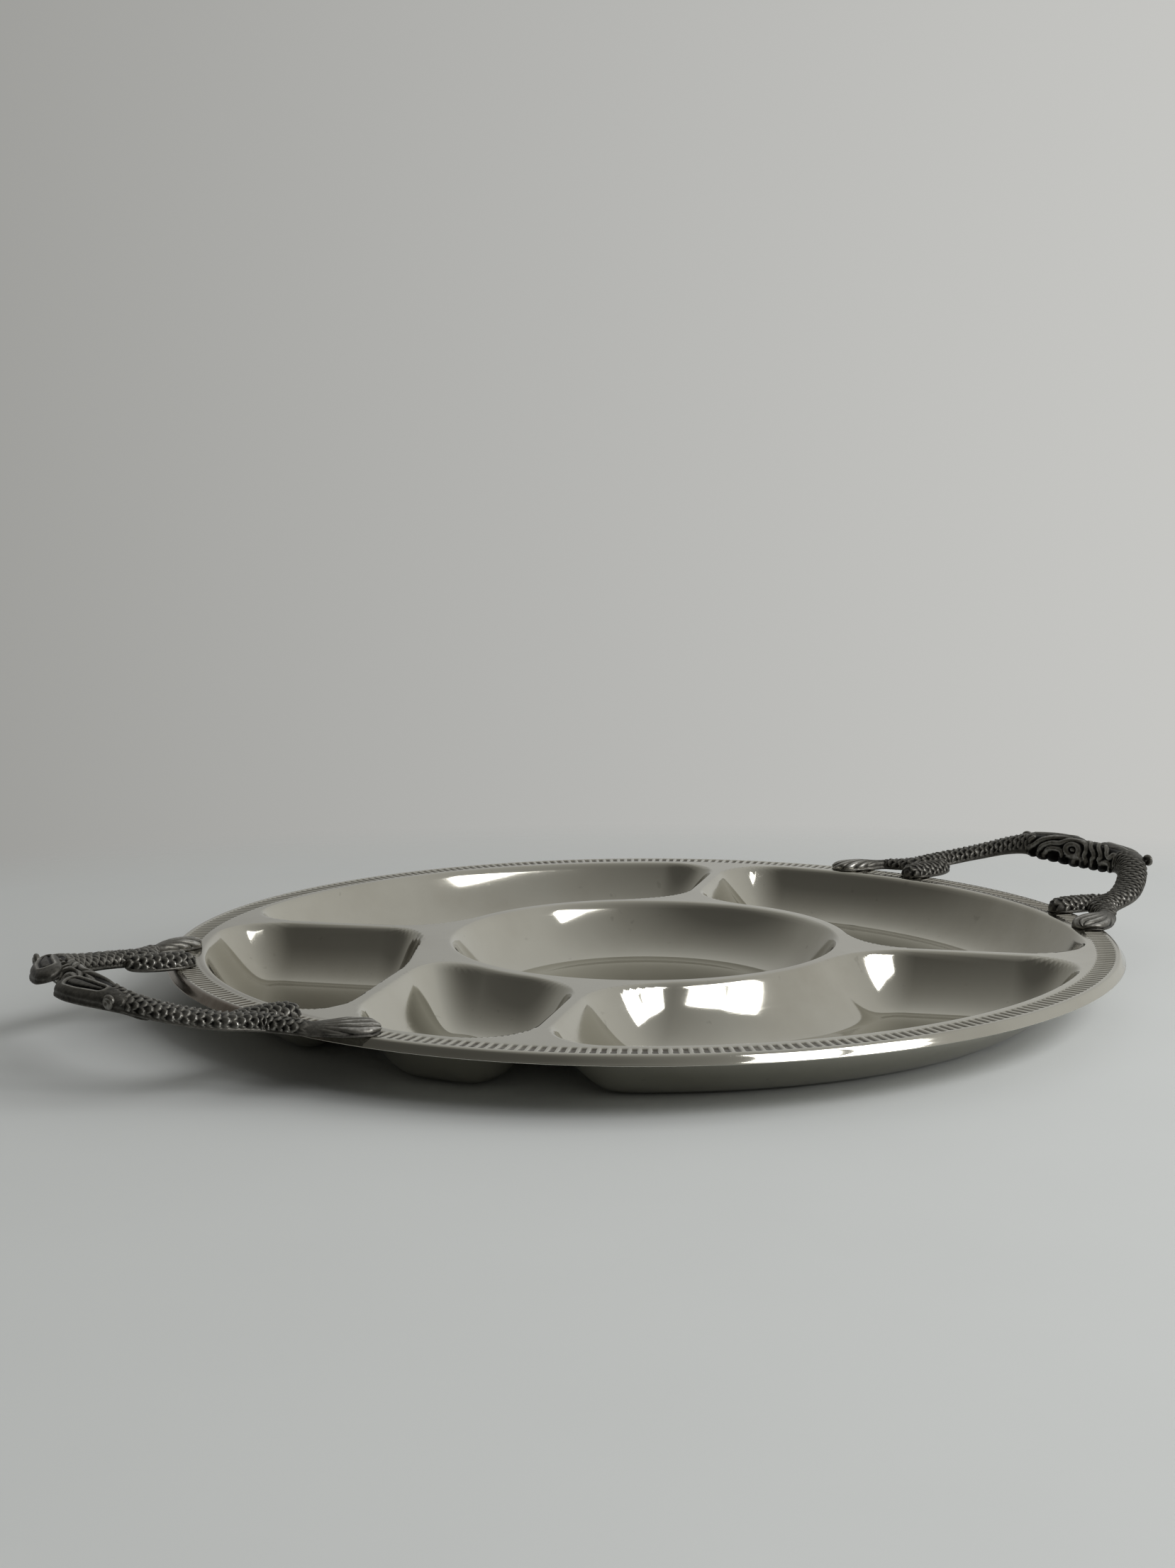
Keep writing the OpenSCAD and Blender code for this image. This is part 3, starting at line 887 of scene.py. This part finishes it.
@dataclass
class FishHandle:
    """One casting of two fish, whose heads meet in the middle of the grip.

    Places are distances along the rim from the handle's middle, out of the rim and
    over its top. The rows run from the tail's tip to the middle of the grip. A
    tail row is the way along, the share of the width and the thickness. A body or
    grip row is shares of the place or steps from it, the shares of the width and
    the thickness, and the share of the wedge. A fin or head row is the way along,
    steps of the place, and the same two shares. Scales are their pitch, width and
    lift.
    """

    name: str = "right_handle"
    turned: bool = False
    reach: float = 44.0
    half: float = 56.0
    rise: float = 9.2
    body_w: float = 11.8
    body_t: float = 4.8
    tail_len: float = 24.0
    tail_w: float = 15.0
    tail_way: tuple = (0.75, 0.625)
    fin_w: float = 13.0
    fin_t: float = 5.2
    fin_len: float = 24.0
    head_len: float = 32.0
    spacing: float = 0.34
    body_scales: tuple = (2.3, 3.4, 0.9)
    fin_scales: tuple = (2.4, 3.5, 0.9)
    scale_sink: float = 0.2
    waist_ends: tuple = (25, 29)
    bead_pitch: float = 6.4
    ray_angle: float = 0.115
    ray_span: tuple = (0.1, 0.6)
    plain_look: float = 0.3
    tail_rows: tuple = ((1, 0.66, 2.4), (0.86, 0.9, 3.1), (0.62, 0.96, 3.6), (0.3, 0.76, 3.8), (0, 0.5, 3.8))
    body_rows: tuple = (
        (1, 0.23, 0.08, 1, 1, 0), (0.88, 0.49, 0.29, 1, 1, 0.1), (0.73, 0.7, 0.58, 1, 1.04, 0.2),
        (0.57, 0.88, 0.92, 1, 1.18, 0.45),
    )
    grip_rows: tuple = (
        (0.75, -1.2, 0.6, 0.96, 1.38, 0.7), (0.45, -1, 0.2, 0.88, 1.58, 0.95), (0.22, -1, 0, 0.84, 1.66, 1),
        (0, -1, -0.4, 0.82, 1.7, 1),
    )
    fin_rows: tuple = (
        (-0.07, 2.0, 0, 0.5, 0.8), (0.1, 1.8, 0, 0.86, 0.95), (0.3, 1, 0, 1, 1), (0.6, 0, 0, 0.95, 1),
        (0.86, -0.4, 0.2, 0.66, 0.95), (1.0, 0, 1.2, 0.4, 0.7),
    )
    head_rows: tuple = (
        (0, 6.6, 3.9, 0.6, 0.7), (0.07, 6.2, 3.8, 0.8, 0.84), (0.25, 5.2, 3.7, 0.95, 0.94),
        (0.45, 3.8, 3.5, 0.9, 0.95), (0.7, 1.2, 2.8, 0.7, 0.9), (0.87, -2.4, 1.2, 0.52, 0.74),
        (1.0, -5.4, -1.2, 0.34, 0.5),
    )
    loop_line: tuple = ((8.5, 0.4), (15.0, 0.5), (24.0, 0.0))
    wave_paths: tuple = (
        ((-21.5, 10.6), (-20.6, 8.6), (-19.0, 6.9), (-14.7, 5.3), (-9.3, 4.7), (-5.0, 2.6), (0.4, 1.6), (5.5, 3.0),
         (7.6, 5.6), (6.6, 8.2), (8.4, 10.4)),
        ((-17.6, 10.4), (-16.0, 8.3), (-12.4, 7.6), (-8.4, 8.0), (-7.2, 10.0)),
        ((-30.0, 9.6), (-27.4, 8.6), (-24.0, 7.0), (-20.6, 4.6), (-16.4, 2.9), (-10.0, 1.6), (-6.0, -0.4)),
        ((-37.0, 8.4), (-34.5, 7.2), (-31.5, 8.0), (-29.5, 6.6), (-25.5, 3.6)),
        ((5.0, 0.2), (8.4, 2.2), (10.2, 4.4), (12.2, 5.9), (13.3, 7.4), (11.8, 9.2), (12.4, 11.0)),
        ((9.4, -0.6), (12.5, 1.4), (14.6, 3.6), (16.6, 5.2), (17.8, 6.8), (16.6, 8.4), (17.6, 9.8), (21.0, 8.8),
         (23.6, 9.0), (24.4, 11.0)),
        ((17.4, 1.6), (20.0, 3.4), (21.2, 5.4), (23.4, 6.4), (25.6, 4.6), (27.8, 5.8), (27.4, 8.4)),
        ((0.4, 11.6), (1.4, 9.9), (3.2, 9.5), (4.9, 10.4)),
    )

    def spine_stations(self) -> np.ndarray:
        """Places, widths and thicknesses of one half, from the tail's tip to the middle.

        Returns:
            One row for each station, with the columns of a limb's line.
        """
        run, lean = np.array(self.tail_way) * self.tail_len
        tail = [
            (self.half + 14.3 + run * way, 5.2 - lean * way, 0, self.tail_w * wide, thick, 0, 0.25)
            for way, wide, thick in self.tail_rows
        ]
        neck = [(self.half + 7.15, 7.15, 0.2, self.body_w * 0.78, self.body_t * 0.84, 0, 0)]
        places = [(self.half * u, self.reach * v, self.rise * z, *rest) for u, v, z, *rest in self.body_rows]
        places += [(self.head_len * u, self.reach + v, self.rise + z, *rest) for u, v, z, *rest in self.grip_rows]
        body = [
            (*place, self.body_w * wide, self.body_t * thick, 0.42 * wedge, 0.5 * wedge)
            for *place, wide, thick, wedge in places
        ]
        return np.array(tail + neck + body, float)

    def waves(self, along: np.ndarray, around: np.ndarray) -> np.ndarray:
        """Relief of the scrolls on the middle of the grip.

        A ring with a small island stands in the middle of the inner face. Waves
        sweep over it from one side and wind down beside it on the other. Each is a
        band along a smooth line: full up to half its width, then a soft step down.
        The outer face repeats the inner one's upper part, folded over the top.

        Args:
            along: Signed distance from the middle of the grip.
            around: Distance over the section from its top, inner side positive.

        Returns:
            The relief of each point, from 0 to 1.
        """
        a, b = along, np.where(around < 0, 1.6 - 1.1 * around, around)
        ring = np.abs(np.hypot((a + 1.3) / 1.55, b - 6.7) - 2.6)
        island = 0.3 + np.hypot((a + 1.3) / 2.0, b - 6.5)
        nearest = np.minimum(ring, island)
        for path in self.wave_paths:
            line = smooth_line(np.column_stack([np.array(path), np.zeros(len(path))]), 0.6)[:, :2]
            nearest = np.minimum(nearest, distance_to_line(a, b, line))
        return 1 - between(nearest, 0.55, 1.25)

    def rays(self, limb: Limb, share: np.ndarray) -> np.ndarray:
        """Relief of the tail's rays.

        The rays are lines of equal angle about a point behind the tail's root, bent
        as they go out, and their section is a rounded wave.

        Args:
            limb: The limb that carries the tail.
            share: Way along the tail, 0 at its root and 1 at its tip.

        Returns:
            The relief of each point, from 0 to 1.
        """
        angle = np.arctan2(limb.across * self.tail_w / 2, 9 + self.tail_len * share)
        wave = np.abs(np.cos(np.pi * (angle / self.ray_angle + 0.5 + 1.3 * share**2)))
        return wave**0.7 * between(share, *self.ray_span)

    def spine(self) -> tuple:
        """The two bodies, tails and the grip's middle, as one limb.

        Waves cover the waist, with beads along its lower edge, where the flange
        takes relief too. Scales cover the bodies and rays the tails.

        Returns:
            The worked points, and a number for each that is 0 in hollows and 1 on
            worn edges.
        """
        half = self.spine_stations()
        mirrored = half[-2::-1] * np.array([-1, 1, 1, 1, 1, 1, 1])
        limb = Limb(smooth_line(np.vstack([half, mirrored]), self.spacing), girth=64)
        middle = limb.along.max() / 2
        along = limb.along - middle
        way = np.abs(along)
        waist = 1 - between(way, *self.waist_ends)
        lip = slice(limb.dome, limb.dome + len(limb.flange))
        limb.face[:, lip] = waist[:, lip]
        root = middle - np.hypot(*(np.array(self.tail_way) * self.tail_len))
        tail = between(way, root - 3, root + 2)
        body = (1 - waist) * (1 - tail)
        share = np.clip((way - root) / (middle - root), 0, 1)
        scale, worn = scales(way, limb.around, *self.body_scales)
        wave, ray = self.waves(along, limb.around), self.rays(limb, share)
        beads = np.abs(np.cos(np.pi * along / self.bead_pitch)) ** 0.6
        low = between(np.where(limb.face > 0, limb.around, 0), 8.6, 10.4)
        relief = (
            waist * (1.1 * wave * (1 - low) + 0.9 * beads * low - 0.3)
            + body * (scale - self.scale_sink)
            + tail * (0.85 * ray - 0.25)
        )
        rayed = 0.3 - 0.28 * between(share, *self.ray_span) + 0.76 * ray
        look = waist * (0.03 + 0.62 * wave) + body * (0.04 + 0.92 * worn) + tail * rayed
        return limb.worked(relief), np.where(limb.face > 0, look, self.plain_look)

    def fin(self) -> tuple:
        """The scaled fin, a teardrop that leaves the body and lies on the rim.

        Returns:
            The worked points and the look of each.
        """
        stations = np.array([
            (self.half * 0.84 + aside, -8.2 + self.fin_len * way, lift, self.fin_w * w, self.fin_t * t, 0, 0)
            for way, aside, lift, w, t in self.fin_rows
        ])
        limb = Limb(smooth_line(stations, self.spacing), edge=0.22, fullness=2.0, round_end=3)
        relief, worn = scales(limb.along.max() - limb.along, limb.around, *self.fin_scales)
        look = np.where(limb.face > 0, 0.04 + 0.92 * worn, self.plain_look)
        return limb.worked(relief - self.scale_sink), look

    def head(self) -> tuple:
        """The head: a smooth rounded brow with a long loop cut into its top.

        The loop is a groove at an even distance from a short line, with a rim
        outside it, and both draw in towards the loop's far end.

        Returns:
            The worked points and the look of each.
        """
        stations = np.array([
            (4 + self.head_len * way, self.reach + out, self.rise + up, self.body_w * w, self.body_t * t, 0.26, 0)
            for way, out, up, w, t in self.head_rows
        ])
        limb = Limb(smooth_line(stations, self.spacing * 0.9), edge=0.42, round_start=5)
        loop = distance_to_line(limb.along, limb.around, np.array(self.loop_line))
        loop = loop + 0.9 * between(limb.along, 12, 26)
        groove, rim = bell(loop, 2.0, 0.5), bell(loop, 3.1, 0.5)
        look = np.where(limb.face > 0, 0.25 - 0.4 * groove + 0.56 * rim, 0.25)
        return limb.worked(-0.75 * groove + 0.3 * rim), look

    def curl(self) -> tuple:
        """The small curl of fin on the brow: a tube rolled up round its own end.

        Its line is a circle that tightens by six tenths as it turns and steps out,
        and the tube thins by a quarter and closes at both ends.

        Returns:
            The points of the tube and the look of each.
        """
        turn = np.linspace(0, 1, 64)
        angle = TAU * 1.35 * turn
        radius = 1.75 * (1 - 0.6 * turn)
        along, out, up = self.head_len * 0.92, self.reach + 4.2, self.rise + 4.5
        line = np.stack([along + radius * np.cos(angle), out + 0.7 * turn, up + radius * np.sin(angle)], axis=1)
        tube = 1.15 * np.sqrt(np.clip(1 - (2 * turn - 1) ** 6, 0.02, 1)) * (1 - 0.25 * turn)
        way = unit(np.gradient(line, axis=0))
        flat = unit(np.cross(way, np.array([0.0, 1.0, 0.0])))
        stand = np.cross(way, flat)
        around = (TAU * np.arange(20) / 20)[None, :, None]
        ring = flat[:, None] * np.cos(around) + stand[:, None] * np.sin(around)
        grid = line[:, None] + ring * tube[:, None, None]
        return over_rim(*grid.transpose(2, 0, 1)), np.full(grid.shape[:2], 0.6)

    def build(self) -> bpy.types.Object:
        """Gathers the limbs of the casting into one piece.

        Each limb but the spine is there twice, the second time mirrored across the
        handle's middle and with its rows turned round. A fan closes each end.

        Returns:
            The piece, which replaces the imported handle.
        """
        grids = [self.spine()]
        for grid, look in (self.fin(), self.head(), self.curl()):
            grids += [(grid, look), (grid[::-1] * np.array([1, -1, 1]), look[::-1])]
        points, looks, quads, triangles, start = [], [], [], [], 0
        for grid, look in grids:
            index = start + np.arange(look.size).reshape(look.shape)
            first, last = start + look.size, start + look.size + 1
            faces = band_faces(index)
            ends = [fan_faces(index[0], first), fan_faces(index[-1], last)[:, [1, 0, 2]]]
            cloud = np.vstack([grid.reshape(-1, 3), grid[0].mean(axis=0), grid[-1].mean(axis=0)])
            if self.volume(cloud, np.vstack(faces) - start) < 0:
                faces, ends = [f[:, ::-1] for f in faces], [e[:, ::-1] for e in ends]
            points.append(cloud)
            looks.append(np.append(look, [0.5, 0.5]))
            quads += faces
            triangles += ends
            start += len(cloud)
        cloud = np.vstack(points)
        if self.turned:
            cloud = cloud * np.array([-1, -1, 1])
        piece = make_piece(self.name + "_casting", cloud, quads, triangles)
        set_attribute(piece, "relief", np.concatenate(looks))
        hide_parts(self.name)
        return piece

    @staticmethod
    def volume(points: np.ndarray, quads: np.ndarray) -> float:
        """A number with the sign of the volume under the quads, from their corners' triple products.

        Args:
            points: The points, one row each.
            quads: The corners of each quad.

        Returns:
            The sum of the triple products, which is positive where the quads face outwards.
        """
        a, b, c, d = (points - points.mean(axis=0))[quads].transpose(1, 0, 2)
        return float((a * (np.cross(b, c) + np.cross(c, d))).sum())


# ---- The studio ----


@dataclass
class Studio:
    """Floor, background, lamps and the camera at the photograph's angle.

    Its places and sizes are metres, its powers watts and its angles radians. A
    room's rows are how far a direction points to the light side, from -1 to 1,
    and the level there. The floor fades out over distances from the fade's centre.
    """

    lens: float = 53.28
    camera_at: tuple = (-0.4646, -0.7385, 0.2018)
    yaw: float = 0.5373
    pitch: float = -0.1386
    roll: float = -0.0068
    floor: tuple = (0.55, 0.565, 0.56)
    floor_half: float = 0.95
    fade_centre: tuple = (-0.17, -0.28, 0)
    fade: tuple = ((0.62, 1), (0.74, 0))
    windows: tuple = ((0.12, -1.13, 1.0), (0.55, -0.98, 1.0))
    window_size: tuple = (0.42, 0.46)
    window_power: float = 3.6
    fill_at: tuple = (1.38, -0.95, 0.75)
    fill_size: tuple = (1.2, 1.2)
    fill_power: float = 28.0
    light_side: tuple = (0.996, 0.087, 0.0)
    dim_tint: tuple = (1.0, 0.975, 0.88)
    light_tint: tuple = (1.0, 1.0, 0.965)
    light_level: float = 0.4
    low_room: tuple = (
        (-0.9, 0.07), (-0.62, 0.10), (-0.3, 0.24), (0.1, 0.31), (0.35, 0.34), (0.58, 0.46), (0.77, 0.57), (1, 0.63),
    )
    high_room: tuple = (
        (-0.9, 0.07), (-0.62, 0.10), (-0.37, 0.20), (-0.12, 0.29), (0.1, 0.37), (0.3, 0.44), (0.55, 0.54), (1, 0.62),
    )
    room_heights: tuple = (0.3, 0.55)

    def make_camera(self) -> None:
        """Puts the camera where the photograph was taken from.

        The axes follow from the yaw and the pitch of the viewing direction, and
        then the roll turns the two that lie across it.
        """
        cy, sy, cp, sp = np.cos(self.yaw), np.sin(self.yaw), np.cos(self.pitch), np.sin(self.pitch)
        ahead = np.array([sy * cp, cy * cp, sp])
        level = np.array([cy, -sy, 0])
        rise = np.cross(level, ahead)
        right = np.cos(self.roll) * level + np.sin(self.roll) * rise
        up = -np.sin(self.roll) * level + np.cos(self.roll) * rise
        data = bpy.data.cameras.new("camera")
        data.lens, data.sensor_width, data.sensor_fit = self.lens, 36.0, "AUTO"
        data.clip_start, data.clip_end = 0.01, 50
        camera = bpy.data.objects.new("camera", data)
        stand_at(camera, (right, up, -ahead), self.camera_at)
        bpy.context.scene.camera = camera

    def make_floor(self) -> None:
        """A plain floor under the tray, which fades into the plain background."""
        half = self.floor_half
        mesh = bpy.data.meshes.new("floor")
        mesh.from_pydata([(-half, -half, 0), (half, -half, 0), (half, half, 0), (-half, half, 0)], [], [(0, 1, 2, 3)])
        floor = bpy.data.objects.new("floor", mesh)
        bpy.context.scene.collection.objects.link(floor)
        sheet = NodeSheet("pale_floor")
        paler = tuple(c * 1.04 for c in self.floor)
        sheet.put(sheet.shader, "Base Color", sheet.mix(sheet.noise(14, 3, 0.5), self.floor, paler))
        sheet.put(sheet.shader, "Roughness", 0.7)
        distance = sheet.tree.nodes.new("ShaderNodeVectorMath")
        distance.operation = "DISTANCE"
        sheet.put(distance, 0, sheet.place)
        sheet.put(distance, 1, self.fade_centre)
        sheet.put(sheet.shader, "Alpha", sheet.ramp(distance.outputs["Value"], *self.fade))
        mesh.materials.append(sheet.material)

    def make_lamp(self, name: str, place: tuple, size: tuple, power: float) -> bpy.types.Object:
        """A rectangular lamp that faces the middle of the tray.

        Args:
            name: The lamp's name.
            place: Where it is.
            size: Its width and height.
            power: Its power.

        Returns:
            The lamp.
        """
        data = bpy.data.lights.new(name, "AREA")
        data.shape, data.size, data.size_y, data.energy = "RECTANGLE", *size, power
        lamp = bpy.data.objects.new(name, data)
        back = unit(np.array(place))
        across = unit(np.cross([0, 0, 1.0], back))
        stand_at(lamp, (across, np.cross(back, across), back), place)
        return lamp

    def room_stops(self, room: tuple) -> list:
        """Stops of a room's ramp, whose tint goes from dim to light as the level rises.

        Args:
            room: The room's rows.

        Returns:
            Each stop's place from 0 to 1 and its colour.
        """
        dim, light = np.array(self.dim_tint), np.array(self.light_tint)
        return [
            ((side + 1) / 2, level * (dim + (light - dim) * min(level / self.light_level, 1)))
            for side, level in room
        ]

    def make_world(self) -> None:
        """A soft room, dim on the left and lighter on the right.

        Its level is a ramp over how far a direction points to the room's light
        side. Low directions take one ramp, high ones take another, and in between
        the two are mixed by a soft step of the height.
        """
        world = bpy.data.worlds.new("room")
        bpy.context.scene.world = world
        world.use_nodes = True
        tree = world.node_tree
        tree.nodes.clear()
        new, join = tree.nodes.new, tree.links.new
        output, room = new("ShaderNodeOutputWorld"), new("ShaderNodeBackground")
        place, side = new("ShaderNodeTexCoord"), new("ShaderNodeVectorMath")
        side.operation = "DOT_PRODUCT"
        side.inputs[1].default_value = self.light_side
        join(place.outputs["Generated"], side.inputs[0])
        share = new("ShaderNodeMath")
        share.operation = "MULTIPLY_ADD"
        share.inputs[1].default_value, share.inputs[2].default_value = 0.5, 0.5
        join(side.outputs["Value"], share.inputs[0])
        mix = new("ShaderNodeMix")
        mix.data_type = "RGBA"
        for slot, rows in ((6, self.low_room), (7, self.high_room)):
            ramp = new("ShaderNodeValToRGB")
            join(share.outputs[0], ramp.inputs["Fac"])
            fill_ramp(ramp.color_ramp, self.room_stops(rows))
            join(ramp.outputs["Color"], mix.inputs[slot])
        height = new("ShaderNodeSeparateXYZ")
        join(place.outputs["Generated"], height.inputs[0])
        rise = new("ShaderNodeMapRange")
        rise.interpolation_type = "SMOOTHSTEP"
        rise.inputs["From Min"].default_value, rise.inputs["From Max"].default_value = self.room_heights
        join(height.outputs["Z"], rise.inputs["Value"])
        join(rise.outputs["Result"], mix.inputs[0])
        join(mix.outputs[2], room.inputs["Color"])
        join(room.outputs[0], output.inputs["Surface"])

    def build(self) -> None:
        """Sets up the whole studio."""
        bpy.context.scene.view_settings.view_transform = "Standard"
        self.make_camera()
        self.make_floor()
        self.make_world()
        for name, place in zip(("window_left", "window_right"), self.windows):
            self.make_lamp(name, place, self.window_size, self.window_power)
        fill = self.make_lamp("fill", self.fill_at, self.fill_size, self.fill_power)
        fill.visible_glossy = False


def main() -> None:
    """Builds the tray, dresses it, and sets the studio round it."""
    logging.basicConfig(level=logging.INFO, format="%(name)s: %(message)s")
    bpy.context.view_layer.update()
    Studio().build()
    pan = Pan().build()
    pan.data.materials.append(PolishedSteel().make())
    casting = AntiquedCasting().make()
    for handle in (FishHandle("right_handle", rise=9.2), FishHandle("left_handle", turned=True, rise=5.8)):
        handle.build().data.materials.append(casting)
    screws = bpy.data.objects["handle_screws"]
    steel = PlainSteel().make()
    for slot in screws.material_slots:
        slot.material = steel


if __name__ == "__main__":
    main()
